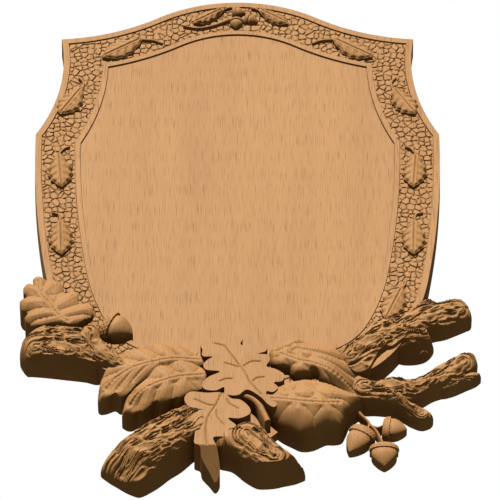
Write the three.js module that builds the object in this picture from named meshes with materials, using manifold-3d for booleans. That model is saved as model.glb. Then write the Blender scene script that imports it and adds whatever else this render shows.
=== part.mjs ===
// Carved wooden trophy shield: a flat-backed board with a border of small oak leaves, and a bunch of
// large oak leaves, acorns and bark-covered branches across its foot, all one piece of wood.
// Plan coordinates: x to the right and y up the shield, height out of the wall, in millimetres.
import * as THREE from 'three';
import { mergeVertices } from 'three/addons/utils/BufferGeometryUtils.js';
import Module from 'manifold-3d';

const DEGREE = Math.PI / 180;

// Heights above the flat back
const BACK = 0;
const BOARD_THICKNESS = 27;
const PANEL_HEIGHT = BOARD_THICKNESS - 3;
const GROUND_HEIGHT = BOARD_THICKNESS - 2;
const INNER_RIM_HEIGHT = BOARD_THICKNESS - 0.5;
const BORDER_LEAF_EDGE = BOARD_THICKNESS + 1.5;
const BORDER_LEAF_CREST = BOARD_THICKNESS + 4.5;
const FLAT_LEAF_HEIGHT = 40;
const ABOVE_ALL = 70;

// Border widths, measured in from the outer edge
const RIM_WIDTH = 6.2;
const PANEL_INSET = 45.5;
const INNER_RIM_WIDTH = 5;

// Shield outline: arcs of the top, the hollow shoulders and the flanks
const SHIELD_TOP = 300;
const CROWN_RADIUS = 159.2;
const CROWN_ANGLE = 31 * DEGREE;
const SWEEP_RADIUS = 217.9;
const SHOULDER_RADIUS = 208.5;
const SHOULDER_X = 178;
const SHOULDER_Y = 212;
const FLANK_X = 204;
const FLANK_Y = 100;
const FLANK_RADIUS = 1075;
const FLANK_ANGLE = 9.9 * DEGREE;
const LOWER_RADIUS = 290;

// Fineness of the curves and of the carved tops
const ARC_STEP = 20;
const CURVE_POINTS_PER_KNOT = 3;
const CARVED_CELL = 8;
const SMALL_CELL = 8;
const WELD = 1e-4;
const SMOOTHING = 0.3;

const WOOD_COLOUR = 0xc8935a;

const wasm = await Module();
wasm.setup();

const point = (x, y) => new THREE.Vector2(x, y);
const points = (pairs) => pairs.map(([x, y]) => point(x, y));

// Points of an arc of a circle, from one angle to another
function arc(circle, from, to) {
  const count = Math.max(2, Math.ceil(Math.abs(to - from) * circle.radius / ARC_STEP));
  const angles = Array.from({ length: count + 1 }, (_, i) => from + (to - from) * i / count);
  return angles.map((angle) => point(
    circle.x + circle.radius * Math.cos(angle),
    circle.y + circle.radius * Math.sin(angle),
  ));
}

// Where two circles cross, to the left of the way from the first centre to the second
function crossing(first, second) {
  const way = point(second.x - first.x, second.y - first.y);
  const apart = way.length();
  const along = (first.radius ** 2 - second.radius ** 2 + apart ** 2) / (2 * apart);
  const aside = Math.sqrt(first.radius ** 2 - along ** 2);
  way.normalize();
  return point(first.x + along * way.x - aside * way.y, first.y + along * way.y + aside * way.x);
}

const angleOn = (circle, p) => Math.atan2(p.y - circle.y, p.x - circle.x);
const positive = (angle) => (angle + 2 * Math.PI) % (2 * Math.PI);

// The shield outline moved inwards by a distance: the arcs of the right half, then their mirror image
function shieldOutline(inset = 0) {
  const up = 90 * DEGREE;
  const crown = { x: 0, y: SHIELD_TOP - CROWN_RADIUS, radius: CROWN_RADIUS - inset };
  const reach = CROWN_RADIUS + SWEEP_RADIUS;
  const sweep = {
    x: reach * Math.sin(CROWN_ANGLE),
    y: crown.y + reach * Math.cos(CROWN_ANGLE),
    radius: SWEEP_RADIUS + inset,
  };
  const hollow = { x: SHOULDER_X + SHOULDER_RADIUS, y: SHOULDER_Y, radius: SHOULDER_RADIUS + inset };
  const flank = { x: FLANK_X - FLANK_RADIUS, y: FLANK_Y, radius: FLANK_RADIUS - inset };
  const shift = FLANK_RADIUS - LOWER_RADIUS;
  const lower = {
    x: flank.x + shift * Math.cos(FLANK_ANGLE),
    y: flank.y - shift * Math.sin(FLANK_ANGLE),
    radius: LOWER_RADIUS - inset,
  };
  const corner = crossing(hollow, sweep);
  const shoulder = crossing(hollow, flank);
  const foot = Math.acos(-lower.x / lower.radius);
  const half = [
    ...arc(crown, up, up - CROWN_ANGLE),
    ...arc(sweep, -up - CROWN_ANGLE, angleOn(sweep, corner)).slice(1),
    ...arc(hollow, positive(angleOn(hollow, corner)), positive(angleOn(hollow, shoulder))).slice(1),
    ...arc(flank, angleOn(flank, shoulder), -FLANK_ANGLE).slice(1),
    ...arc(lower, -FLANK_ANGLE, -foot).slice(1),
  ];
  const mirrored = half.slice(1, -1).reverse().map((p) => point(-p.x, p.y));
  return [...half, ...mirrored];
}

// A smooth closed outline through its knots
function roundedOutline(knots) {
  const curve = new THREE.CatmullRomCurve3(knots.map(([x, y]) => new THREE.Vector3(x, y, 0)), true);
  const samples = curve.getPoints(knots.length * CURVE_POINTS_PER_KNOT).slice(0, -1);
  return samples.map((p) => point(p.x, p.y));
}

// Outline of a narrow stem that thins from one end of its line to the other
function stemOutline(line, startWidth, endWidth) {
  const curve = new THREE.SplineCurve(points(line));
  const count = line.length * 2;
  const edge = (side) => Array.from({ length: count + 1 }, (_, i) => {
    const t = i / count;
    const along = curve.getTangent(t);
    const half = THREE.MathUtils.lerp(startWidth, endWidth, t) / 2;
    return curve.getPoint(t).add(point(-along.y, along.x).multiplyScalar(side * half));
  });
  return [...edge(1), ...edge(-1).reverse()];
}

// Closed solid from any geometry
function solid(geometry) {
  const bare = geometry.clone();
  bare.deleteAttribute('normal');
  bare.deleteAttribute('uv');
  const welded = mergeVertices(bare, WELD);
  const vertProperties = welded.attributes.position.array;
  const triVerts = Uint32Array.from(welded.index.array);
  return new wasm.Manifold(new wasm.Mesh({ numProp: 3, vertProperties, triVerts }));
}

// Straight-walled slab between two heights
function slab(outline, from, to) {
  const shape = new THREE.Shape(outline);
  const geometry = new THREE.ExtrudeGeometry(shape, { depth: to - from, bevelEnabled: false });
  return solid(geometry.translate(0, 0, from));
}

// Nearest place on a line of points: its distance, and how far along the line it lies from 0 to 1
function nearest(line, x, y) {
  let best = { distance: Infinity, progress: 0 };
  for (let i = 0; i + 1 < line.length; i += 1) {
    const dx = line[i + 1][0] - line[i][0];
    const dy = line[i + 1][1] - line[i][1];
    const t = THREE.MathUtils.clamp(((x - line[i][0]) * dx + (y - line[i][1]) * dy) / (dx * dx + dy * dy), 0, 1);
    const distance = Math.hypot(x - line[i][0] - t * dx, y - line[i][1] - t * dy);
    if (distance < best.distance) best = { distance, progress: (i + t) / (line.length - 1) };
  }
  return best;
}

// Height of a carved top that falls from a crest along its spine to an edge half a width away
function crestHeight({ spine, halfWidth, crest, edge, round }) {
  return (x, y) => {
    const { distance, progress } = nearest(spine, x, y);
    const across = Math.min(1, distance / halfWidth);
    const share = round ? Math.sqrt(1 - across * across) : 1 - across * across;
    const top = THREE.MathUtils.lerp(crest[0], crest[1], progress);
    const low = THREE.MathUtils.lerp(edge[0], edge[1], progress);
    return low + (top - low) * share;
  };
}

// Straight-walled piece standing on the back, with a carved top
function carved(outline, height, cell = CARVED_CELL) {
  const box = new THREE.Box2().setFromPoints(outline).expandByScalar(cell / 2);
  const size = box.getSize(point(0, 0));
  const middle = box.getCenter(point(0, 0));
  const columns = Math.ceil(size.x / cell);
  const rows = Math.ceil(size.y / cell);
  const block = new THREE.BoxGeometry(size.x, size.y, 2, columns, rows, 1).translate(middle.x, middle.y, 0);
  const place = block.attributes.position;
  for (let i = 0; i < place.count; i += 1) {
    const top = place.getZ(i) > 0;
    place.setZ(i, top ? height(place.getX(i), place.getY(i)) : BACK - cell);
  }
  return slab(outline, BACK, ABOVE_ALL).intersect(solid(block));
}

// Board: outer rim, sunk ground, inner rim and the plain panel
function board() {
  return slab(shieldOutline(), BACK, BOARD_THICKNESS)
    .subtract(slab(shieldOutline(RIM_WIDTH), GROUND_HEIGHT, ABOVE_ALL))
    .add(slab(shieldOutline(PANEL_INSET - INNER_RIM_WIDTH), BACK + 1, INNER_RIM_HEIGHT))
    .subtract(slab(shieldOutline(PANEL_INSET), PANEL_HEIGHT, ABOVE_ALL));
}

// Small border leaf: lobed outline, ridge along the midrib, and a thin curved stem
const BORDER_LEAF = { lobes: 5, halfWidth: 13, lobeDepth: 0.2, lobeLean: 5 };

function borderLeaf(base, tip, stem, halfWidth = BORDER_LEAF.halfWidth) {
  const [start, end] = points([base, tip]);
  const along = end.clone().sub(start);
  const length = along.length();
  along.normalize();
  const across = point(-along.y, along.x);
  const steps = BORDER_LEAF.lobes * 4;
  const side = (sign) => Array.from({ length: steps + 1 }, (_, i) => {
    const t = i / steps;
    const body = Math.sin(Math.PI * Math.pow(t * 0.94 + 0.03, 0.9));
    const lobe = 1 - BORDER_LEAF.lobeDepth * (1 + Math.cos(2 * Math.PI * BORDER_LEAF.lobes * t)) / 2;
    const out = sign * halfWidth * body * lobe;
    const lean = BORDER_LEAF.lobeLean * body;
    return start.clone().addScaledVector(along, t * length + lean).addScaledVector(across, out);
  });
  const outline = [...side(1), ...side(-1).reverse()];
  const shape = {
    spine: [base, tip],
    halfWidth,
    crest: [BORDER_LEAF_CREST, BORDER_LEAF_CREST],
    edge: [BORDER_LEAF_EDGE, BORDER_LEAF_EDGE],
  };
  const leaf = carved(outline, crestHeight(shape), SMALL_CELL);
  return leaf.add(slab(stemOutline([...stem, base], 1.5, 3), BACK, BORDER_LEAF_EDGE));
}

// Left-hand border leaves, as base, tip and stem; the right side mirrors them and adds one lower down
const LEFT_BORDER_LEAVES = [
  { base: [-98, 245], tip: [-138, 219], stem: [[-77, 239], [-86, 243.5]] },
  { base: [-158, 175], tip: [-180, 138], stem: [[-162, 190], [-157, 183]] },
  { base: [-180, 83], tip: [-176, 37], stem: [[-169, 93], [-175, 90]] },
  { base: [-176, -8], tip: [-174, -54], stem: [[-185, 2], [-178, 0]] },
];
const LOWEST_RIGHT_LEAF = { base: [162, -98], tip: [145, -140], stem: [[166, -87], [165, -93]] };
const mirror = (pairs) => pairs.map(([x, y]) => [-x, y]);

function borderLeaves() {
  const right = LEFT_BORDER_LEAVES.map(({ base, tip, stem }) => {
    const [mirroredBase, mirroredTip] = mirror([base, tip]);
    return { base: mirroredBase, tip: mirroredTip, stem: mirror(stem) };
  });
  const leaves = [...LEFT_BORDER_LEAVES, ...right, LOWEST_RIGHT_LEAF];
  return leaves.map(({ base, tip, stem }) => borderLeaf(base, tip, stem));
}

// Acorn lying in the plan: nut and cup turned round their axis, filled straight down to the back
const ACORN_SIDES = 12;
const ACORN_PROFILE = [
  [0, 0], [0.62, 0.03], [0.98, 0.22], [1.06, 0.62], [0.93, 0.66],
  [0.95, 1.05], [0.78, 1.6], [0.45, 2.0], [0.12, 2.2], [0, 2.38],
];

function acorn({ cup, direction, radius, height }) {
  const profile = ACORN_PROFILE.map(([r, along]) => point(r * radius, along * radius));
  const turned = new THREE.LatheGeometry(profile, ACORN_SIDES);
  turned.rotateZ(direction * DEGREE - Math.PI / 2).translate(cup[0], cup[1], height);
  const along = point(Math.cos(direction * DEGREE), Math.sin(direction * DEGREE));
  const across = point(-along.y, along.x);
  const edge = (side) => profile.map((p) => point(...cup)
    .addScaledVector(along, p.y)
    .addScaledVector(across, side * p.x));
  const filling = [...edge(1), ...edge(-1).slice(1, -1).reverse()];
  return solid(turned).add(slab(filling, BACK, height));
}

// Crown ornament: a twig, two small leaves and three little acorns
const CROWN_ACORN_RADIUS = 7;
const CROWN_ACORN_HEIGHT = GROUND_HEIGHT + 1;
const CROWN_ACORNS = [
  { cup: [-6, 285], direction: 0 },
  { cup: [-1, 275], direction: -92 },
  { cup: [8, 277], direction: -25 },
];
const CROWN_LEAF_HALF_WIDTH = 8.5;
const CROWN_LEFT_LEAF = { base: [-13, 289], tip: [-45, 268], stem: [[-5, 291], [-9, 291]] };
const CROWN_RIGHT_LEAF = { base: [21, 288], tip: [52, 267], stem: [[14, 290], [18, 290]] };
const CROWN_TWIG = [[-56, 264], [-41, 261], [-25, 265], [-8, 274]];

function crownOrnament() {
  const leaves = [CROWN_LEFT_LEAF, CROWN_RIGHT_LEAF].map(({ base, tip, stem }) => (
    borderLeaf(base, tip, stem, CROWN_LEAF_HALF_WIDTH)));
  const acorns = CROWN_ACORNS.map((place) => (
    acorn({ ...place, radius: CROWN_ACORN_RADIUS, height: CROWN_ACORN_HEIGHT })));
  return [...leaves, ...acorns, slab(stemOutline(CROWN_TWIG, 1.5, 4), BACK, BORDER_LEAF_EDGE)];
}

// Large leaves with domed tops; outlines run from lobe tip to notch and on round the leaf
const LEFT_LEAF = {
  outline: [
    [-196, -84], [-203, -94], [-209, -97], [-203, -112], [-212, -117], [-210, -128], [-200, -131],
    [-208, -138], [-202, -147], [-190, -151], [-170, -156], [-155, -152], [-143, -139], [-141, -124],
    [-153, -121], [-156, -106], [-168, -108], [-175, -94], [-184, -99], [-188, -88],
  ],
  spine: [[-196, -91], [-188, -113], [-177, -133], [-163, -152]],
  halfWidth: 34,
  crest: [34, 40],
  edge: [27, 31],
};
const UPPER_CENTRE_LEAF = {
  outline: [
    [-30, -205], [-34, -188], [-48, -178], [-62, -173], [-67, -177], [-79, -171], [-89, -176],
    [-103, -179], [-114, -185], [-125, -199], [-133, -214], [-136, -228], [-135, -240], [-131, -239],
    [-118, -229], [-113, -238], [-100, -232], [-80, -222], [-50, -215],
  ],
  spine: [[-32, -200], [-62, -196], [-79, -199], [-100, -207], [-119, -218], [-134, -235]],
  halfWidth: 30,
  crest: [38, 28],
  edge: [28, 16],
};
const LOWER_CENTRE_LEAF = {
  outline: [
    [-26, -214], [-45, -200], [-62, -194], [-83, -200], [-98, -216], [-107, -232], [-111, -246],
    [-112, -256], [-107, -260], [-100, -256], [-95, -248], [-90, -254], [-82, -248], [-75, -241],
    [-70, -244], [-60, -236], [-54, -239], [-46, -232], [-28, -228],
  ],
  spine: [[-28, -216], [-57, -219], [-79, -228], [-96, -239], [-109, -255]],
  halfWidth: 28,
  crest: [38, 26],
  edge: [30, 14],
};
const CURLED_LEAF = {
  outline: [
    [28, -196], [33, -187], [43, -178], [55, -172], [64, -172], [72, -178], [85, -179], [97, -186],
    [110, -199], [119, -214], [125, -232], [119, -244], [104, -246], [88, -240], [72, -232],
    [58, -227], [46, -222], [34, -210],
  ],
  spine: [[40, -190], [65, -196], [83, -207], [97, -217], [113, -226]],
  halfWidth: 36,
  crest: [40, 36],
  edge: [31, 22],
};
const SMOOTH_LEAF = {
  outline: [
    [24, -246], [32, -238], [48, -232], [80, -226], [112, -232], [122, -242], [112, -252],
    [103, -266], [97, -275], [86, -277], [77, -279], [69, -284], [60, -283], [50, -276], [38, -268],
    [27, -258],
  ],
  spine: [[24, -244], [41, -240], [65, -242], [89, -247], [108, -250]],
  halfWidth: 40,
  crest: [38, 30],
  edge: [12, 6],
};

// Branches and logs with bark, rounded across their length
const LEFT_LOG = {
  outline: [
    [-208, -160], [-196, -151], [-175, -150], [-150, -150], [-128, -160], [-113, -180], [-108, -196],
    [-120, -201], [-146, -198], [-168, -194], [-190, -192], [-205, -189], [-212, -176],
  ],
  spine: [[-210, -170], [-170, -170], [-135, -178], [-112, -192]],
  halfWidth: 24,
  crest: [30, 36],
  edge: [12, 18],
};
const LOWER_LEFT_LOG = {
  outline: [
    [-132, -315], [-120, -302], [-110, -287], [-100, -274], [-88, -265], [-72, -256], [-50, -246],
    [-30, -256], [-38, -296], [-53, -310], [-68, -321], [-80, -333], [-93, -341], [-108, -336],
    [-124, -322],
  ],
  spine: [[-128, -322], [-100, -300], [-70, -281], [-36, -266]],
  halfWidth: 36,
  crest: [24, 36],
  edge: [6, 10],
};
const LOWER_RIGHT_LOG = {
  outline: [
    [-14, -262], [0, -266], [14, -266], [27, -271], [38, -284], [50, -303], [62, -314], [65, -320],
    [50, -327], [32, -331], [20, -332], [8, -323], [-6, -309], [-14, -290],
  ],
  spine: [[-8, -272], [18, -288], [38, -304], [56, -318]],
  halfWidth: 30,
  crest: [36, 22],
  edge: [14, 8],
};
const UPPER_BRANCH = {
  outline: [
    [88, -196], [100, -176], [111, -162], [124, -148], [137, -134], [155, -124], [170, -118],
    [181, -109], [191, -107], [199, -112], [208, -106], [218, -104], [226, -112], [231, -123],
    [221, -133], [203, -141], [190, -146], [168, -158], [150, -176], [130, -196], [108, -212],
  ],
  spine: [[96, -198], [120, -176], [148, -150], [180, -130], [225, -119]],
  halfWidth: 20,
  crest: [38, 40],
  edge: [20, 20],
};
const UPPER_STUB = {
  outline: [
    [160, -148], [190, -145], [195, -155], [188, -166], [178, -173], [164, -175], [150, -168],
  ],
  spine: [[166, -150], [182, -162]],
  halfWidth: 20,
  crest: [34, 28],
  edge: [18, 14],
};
const LOWER_BRANCH = {
  outline: [
    [104, -230], [124, -214], [141, -209], [156, -206], [168, -211], [181, -205], [190, -196],
    [201, -187], [213, -180], [222, -175], [230, -176], [234, -184], [229, -194], [213, -211],
    [196, -218], [179, -229], [160, -244], [140, -242], [118, -244],
  ],
  spine: [[110, -232], [138, -224], [165, -222], [190, -208], [228, -184]],
  halfWidth: 20,
  crest: [34, 34],
  edge: [14, 16],
};
const PRONG = {
  outline: [[205, -196], [222, -190], [232, -185], [238, -194], [233, -202], [213, -213], [200, -214]],
  spine: [[204, -204], [234, -193]],
  halfWidth: 10,
  crest: [28, 22],
  edge: [14, 12],
};
const LOWER_STUB = {
  outline: [
    [152, -216], [172, -216], [184, -234], [190, -248], [186, -256], [176, -259], [164, -255],
    [152, -244], [146, -228],
  ],
  spine: [[158, -222], [170, -240], [180, -252]],
  halfWidth: 19,
  crest: [34, 24],
  edge: [12, 8],
};

const LARGE_LEAVES = [LEFT_LEAF, UPPER_CENTRE_LEAF, LOWER_CENTRE_LEAF, CURLED_LEAF, SMOOTH_LEAF];
const BARK_PIECES = [
  LEFT_LOG, LOWER_LEFT_LOG, LOWER_RIGHT_LOG, UPPER_BRANCH, UPPER_STUB, LOWER_BRANCH, PRONG, LOWER_STUB,
];

function largeLeaves() {
  return LARGE_LEAVES.map((leaf) => carved(roundedOutline(leaf.outline), crestHeight(leaf)));
}

function barkPieces() {
  return BARK_PIECES.map((piece) => (
    carved(roundedOutline(piece.outline), crestHeight({ ...piece, round: true }))));
}

// Two flat leaves laid over the bunch; the lower one ends in a point that slopes back to the wall
const UPPER_FLAT_LEAF = [
  [-36, -183], [-32, -178], [-24, -176], [-12, -176], [-4, -171], [1, -170], [5, -174], [3, -182],
  [8, -184], [15, -180], [22, -181], [29, -186], [27, -191], [20, -194], [30, -196], [31, -203],
  [28, -210], [37, -214], [45, -221], [43, -229], [35, -231], [39, -237], [34, -243], [28, -242],
  [29, -250], [38, -258], [35, -262], [29, -258], [22, -249], [9, -240], [0, -247], [-12, -245],
  [-13, -237], [-21, -241], [-32, -239], [-34, -233], [-28, -224], [-17, -217], [-31, -214],
  [-33, -208], [-29, -202], [-24, -198], [-34, -197], [-34, -189],
];
const LOWER_FLAT_LEAF = [
  [-13, -244], [-30, -244], [-46, -243], [-51, -251], [-47, -261], [-37, -265], [-45, -275],
  [-47, -286], [-40, -293], [-39, -307], [-34, -309], [-33, -320], [-27, -330], [-21, -337],
  [-17, -330], [-19, -313], [-23, -300], [-8, -298], [-8, -290], [-1, -286], [-9, -276], [2, -276],
  [12, -270], [12, -264], [3, -253], [-6, -251],
];
const POINT_BEND_Y = -309;
const POINT_END_Y = -338;
const POINT_END_HEIGHT = 16;
const pointHeight = (x, y) => THREE.MathUtils.mapLinear(
  THREE.MathUtils.clamp(y, POINT_END_Y, POINT_BEND_Y),
  POINT_END_Y,
  POINT_BEND_Y,
  POINT_END_HEIGHT,
  FLAT_LEAF_HEIGHT,
);

function flatLeaves() {
  return [
    slab(roundedOutline(UPPER_FLAT_LEAF), BACK, FLAT_LEAF_HEIGHT),
    carved(roundedOutline(LOWER_FLAT_LEAF), pointHeight, POINT_BEND_Y - POINT_END_Y),
  ];
}

// Acorns of the bunch: one beside the left leaf and three hanging below the right branches
const SIDE_ACORN = { cup: [-137, -138], direction: -30, radius: 13, height: 32 };
const HANGING_ACORNS = [
  { cup: [124, -266], direction: -122, radius: 13.5, height: 18 },
  { cup: [139, -282], direction: -86, radius: 13.5, height: 20 },
  { cup: [136, -260], direction: -20, radius: 12.5, height: 14 },
];
const ACORN_STEMS = [
  [[116, -248], [124, -258], [125, -270]],
  [[124, -256], [132, -266], [139, -286]],
  [[120, -252], [130, -260], [142, -262]],
];
const ACORN_STEM_WIDTH = 4;
const ACORN_STEM_HEIGHT = 16;

function acorns() {
  const stems = ACORN_STEMS.map((line) => (
    slab(stemOutline(line, ACORN_STEM_WIDTH, ACORN_STEM_WIDTH), BACK, ACORN_STEM_HEIGHT)));
  return [acorn(SIDE_ACORN), ...HANGING_ACORNS.map(acorn), ...stems];
}

// All the carving joined to the board as one solid, turned upright so that the back is the wall plane
const pieces = [
  board(), ...borderLeaves(), ...crownOrnament(), ...largeLeaves(), ...barkPieces(), ...flatLeaves(),
  ...acorns(),
];
const joined = pieces.reduce((sum, piece) => sum.add(piece)).simplify(SMOOTHING);
const { vertProperties, triVerts } = joined.getMesh();
const geometry = new THREE.BufferGeometry();
geometry.setAttribute('position', new THREE.Float32BufferAttribute(vertProperties, 3));
geometry.setIndex(new THREE.Uint32BufferAttribute(triVerts, 1));
geometry.computeVertexNormals();

const material = new THREE.MeshStandardMaterial({ color: WOOD_COLOUR, roughness: 0.7, metalness: 0 });
const plaque = new THREE.Mesh(geometry, material);
plaque.name = 'carved_shield_plaque';
plaque.rotation.x = 90 * DEGREE;

const group = new THREE.Group();
group.add(plaque);
export default group;
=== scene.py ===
import itertools
import math
import bpy
import numpy as np
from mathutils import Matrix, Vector
from mathutils.geometry import delaunay_2d_cdt


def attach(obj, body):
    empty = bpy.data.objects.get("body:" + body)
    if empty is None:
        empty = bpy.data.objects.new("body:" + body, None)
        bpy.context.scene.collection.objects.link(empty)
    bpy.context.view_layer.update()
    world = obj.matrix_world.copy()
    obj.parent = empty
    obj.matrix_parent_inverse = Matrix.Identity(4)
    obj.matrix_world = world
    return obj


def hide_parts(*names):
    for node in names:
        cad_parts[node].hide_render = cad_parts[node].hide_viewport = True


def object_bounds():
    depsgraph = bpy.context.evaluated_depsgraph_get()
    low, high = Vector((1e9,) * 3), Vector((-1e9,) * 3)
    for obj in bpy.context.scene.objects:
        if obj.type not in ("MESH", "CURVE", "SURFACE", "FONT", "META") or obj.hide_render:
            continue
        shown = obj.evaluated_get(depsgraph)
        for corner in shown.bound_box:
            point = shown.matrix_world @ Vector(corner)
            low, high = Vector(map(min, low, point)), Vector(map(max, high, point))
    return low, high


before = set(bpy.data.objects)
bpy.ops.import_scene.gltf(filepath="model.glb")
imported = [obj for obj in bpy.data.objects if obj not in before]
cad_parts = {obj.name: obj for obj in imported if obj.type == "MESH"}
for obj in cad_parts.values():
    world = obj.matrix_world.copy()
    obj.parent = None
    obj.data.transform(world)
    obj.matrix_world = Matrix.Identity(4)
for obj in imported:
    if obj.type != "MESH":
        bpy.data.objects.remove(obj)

CAD_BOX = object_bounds()
NODE = "carved_shield_plaque"
SLOT = "carved_wood"
MM = 0.001

# Heights above the flat back
BOARD_THICKNESS = 27.0
PANEL_HEIGHT = BOARD_THICKNESS - 3
GROUND_HEIGHT = BOARD_THICKNESS - 2
INNER_RIM_HEIGHT = BOARD_THICKNESS - 0.5
BORDER_LEAF_EDGE = BOARD_THICKNESS + 1.5
BORDER_LEAF_CREST = BOARD_THICKNESS + 4.5
FLAT_LEAF_HEIGHT = 40.0

# Border widths, measured in from the outer edge
RIM_WIDTH = 6.2
PANEL_INSET = 45.5
INNER_RIM_WIDTH = 5.0
STEP_SLOPE = 0.4

# Shield outline: arcs of the top, the hollow shoulders and the flanks
SHIELD_TOP = 300.0
CROWN_RADIUS = 159.2
CROWN_ANGLE = math.radians(31)
SWEEP_RADIUS = 217.9
SHOULDER_RADIUS = 208.5
SHOULDER_X = 178.0
SHOULDER_Y = 212.0
FLANK_X = 204.0
FLANK_Y = 100.0
FLANK_RADIUS = 1075.0
FLANK_ANGLE = math.radians(9.9)
LOWER_RADIUS = 290.0
FOOT_RADIUS = 110.0
FOOT_ANGLE = math.radians(26)
WALL_DRAFT = 0.9

# Fineness of the carving
OUTLINE_STEP = 1.2
LEAF_CELL = 0.8
BARK_CELL = 0.7
GROUND_CELL = 0.95
SMALL_CELL = 0.55
PANEL_CELL = 14.0
SHARP = math.radians(42)

# Camera of the photograph: far below the plaque, looking up at it
CAMERA_DISTANCE = 5.0
CAMERA_DROP = math.radians(42.5)
CAMERA_SENSOR = 36.0
CAMERA_LENS = 360.0
CAMERA_SHIFT_X = 0.025
CAMERA_SHIFT_Y = -0.0328


# Numbers without pattern, the same in every run
LATTICE = np.random.default_rng(7).random((256, 256))


def noise(x, y):
    """Smooth noise from -1 to 1, a new value each unit."""
    column, row = np.floor(x).astype(int), np.floor(y).astype(int)
    fx, fy = x - column, y - row
    fx, fy = fx * fx * (3 - 2 * fx), fy * fy * (3 - 2 * fy)

    def corner(i, j):
        return LATTICE[(row + j) % 256, (column + i) % 256]

    low = corner(0, 0) * (1 - fx) + corner(1, 0) * fx
    high = corner(0, 1) * (1 - fx) + corner(1, 1) * fx
    return 2 * (low * (1 - fy) + high * fy) - 1


def smooth(value, start, end):
    """0 before start, 1 after end, and a smooth rise between them."""
    t = np.clip((value - start) / (end - start), 0, 1)
    return t * t * (3 - 2 * t)


# Lines and outlines in the plan

def arc(x, y, radius, start, end, step):
    count = max(2, math.ceil(abs(end - start) * radius / step))
    angles = np.linspace(start, end, count + 1)
    return np.column_stack([x + radius * np.cos(angles), y + radius * np.sin(angles)])


def crossing(first, second):
    """Where two circles cross, to the left of the way from the first centre to the second."""
    (ax, ay, ar), (bx, by, br) = first, second
    apart = math.hypot(bx - ax, by - ay)
    along = (ar ** 2 - br ** 2 + apart ** 2) / (2 * apart)
    aside = math.sqrt(ar ** 2 - along ** 2)
    ux, uy = (bx - ax) / apart, (by - ay) / apart
    return ax + along * ux - aside * uy, ay + along * uy + aside * ux


def angle_on(circle, place):
    return math.atan2(place[1] - circle[1], place[0] - circle[0])


def shield_outline(inset=0.0, step=OUTLINE_STEP):
    """The shield outline moved inwards by a distance, counter-clockwise."""
    up = math.pi / 2
    crown = (0.0, SHIELD_TOP - CROWN_RADIUS, CROWN_RADIUS - inset)
    reach = CROWN_RADIUS + SWEEP_RADIUS
    sweep = (reach * math.sin(CROWN_ANGLE), crown[1] + reach * math.cos(CROWN_ANGLE), SWEEP_RADIUS + inset)
    hollow = (SHOULDER_X + SHOULDER_RADIUS, SHOULDER_Y, SHOULDER_RADIUS + inset)
    flank = (FLANK_X - FLANK_RADIUS, FLANK_Y, FLANK_RADIUS - inset)
    shift = FLANK_RADIUS - LOWER_RADIUS
    lower = (
        flank[0] + shift * math.cos(FLANK_ANGLE),
        flank[1] - shift * math.sin(FLANK_ANGLE),
        LOWER_RADIUS - inset,
    )
    turn = LOWER_RADIUS - FOOT_RADIUS
    foot = (
        lower[0] + turn * math.cos(FOOT_ANGLE),
        lower[1] - turn * math.sin(FOOT_ANGLE),
        FOOT_RADIUS - inset,
    )
    corner = crossing(hollow, sweep)
    shoulder = crossing(hollow, flank)
    full = 2 * math.pi
    half = np.vstack([
        arc(*crown, up, up - CROWN_ANGLE, step),
        arc(*sweep, -up - CROWN_ANGLE, angle_on(sweep, corner), step)[1:],
        arc(*hollow, angle_on(hollow, corner) % full, angle_on(hollow, shoulder) % full, step)[1:],
        arc(*flank, angle_on(flank, shoulder), -FLANK_ANGLE, step)[1:],
        arc(*lower, -FLANK_ANGLE, -FOOT_ANGLE, step)[1:],
        arc(*foot, -FOOT_ANGLE, -up, step)[1:],
    ])
    mirrored = half[1:][::-1] * (-1, 1)
    return np.vstack([half, mirrored])[::-1]


def even_steps(line, step, closed=False):
    """The same line with its points an even step apart."""
    line = np.vstack([line, line[:1]]) if closed else np.asarray(line, float)
    run = np.concatenate([[0], np.cumsum(np.hypot(*np.diff(line, axis=0).T))])
    places = np.linspace(0, run[-1], max(3, round(run[-1] / step)) + 1)
    if closed:
        places = places[:-1]
    return np.column_stack([np.interp(places, run, line[:, 0]), np.interp(places, run, line[:, 1])])


def spline(knots, closed=False, per_knot=14):
    """A smooth line through its knots, counter-clockwise if it is closed."""
    knots = np.asarray(knots, float)
    if closed:
        padded = np.vstack([knots[-1], knots, knots[:2]])
    else:
        padded = np.vstack([2 * knots[0] - knots[1], knots, 2 * knots[-1] - knots[-2]])
    rows = []
    for a, b, c, d in zip(padded, padded[1:], padded[2:], padded[3:]):
        # Tangents are scaled by the square roots of the spans, which keeps loops out of tight lobes
        ab, bc, cd = (max(1e-6, math.sqrt(math.dist(p, q))) for p, q in ((a, b), (b, c), (c, d)))
        out = (b - a) / ab - (c - a) / (ab + bc) + (c - b) / bc
        back = (c - b) / bc - (d - b) / (bc + cd) + (d - c) / cd
        t = np.linspace(0, 1, per_knot, endpoint=False)[:, None]
        rows.append(
            (2 * t ** 3 - 3 * t ** 2 + 1) * b + (t ** 3 - 2 * t ** 2 + t) * out * bc
            + (-2 * t ** 3 + 3 * t ** 2) * c + (t ** 3 - t ** 2) * back * bc
        )
    line = np.vstack(rows) if closed else np.vstack(rows + [knots[-1:]])
    if closed and signed_area(line[:, :2]) < 0:
        line = line[::-1]
    return line


def signed_area(loop):
    x, y = np.asarray(loop).T
    return 0.5 * np.sum(x * np.roll(y, -1) - y * np.roll(x, -1))


def inside(points, loop):
    """Which points lie inside a closed loop."""
    x, y = points.T
    result = np.zeros(len(points), bool)
    for (ax, ay), (bx, by) in zip(loop, np.roll(loop, -1, axis=0)):
        if ay == by:
            continue
        spans = (ay > y) != (by > y)
        result ^= spans & (x < (bx - ax) * (y - ay) / (by - ay) + ax)
    return result


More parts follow.
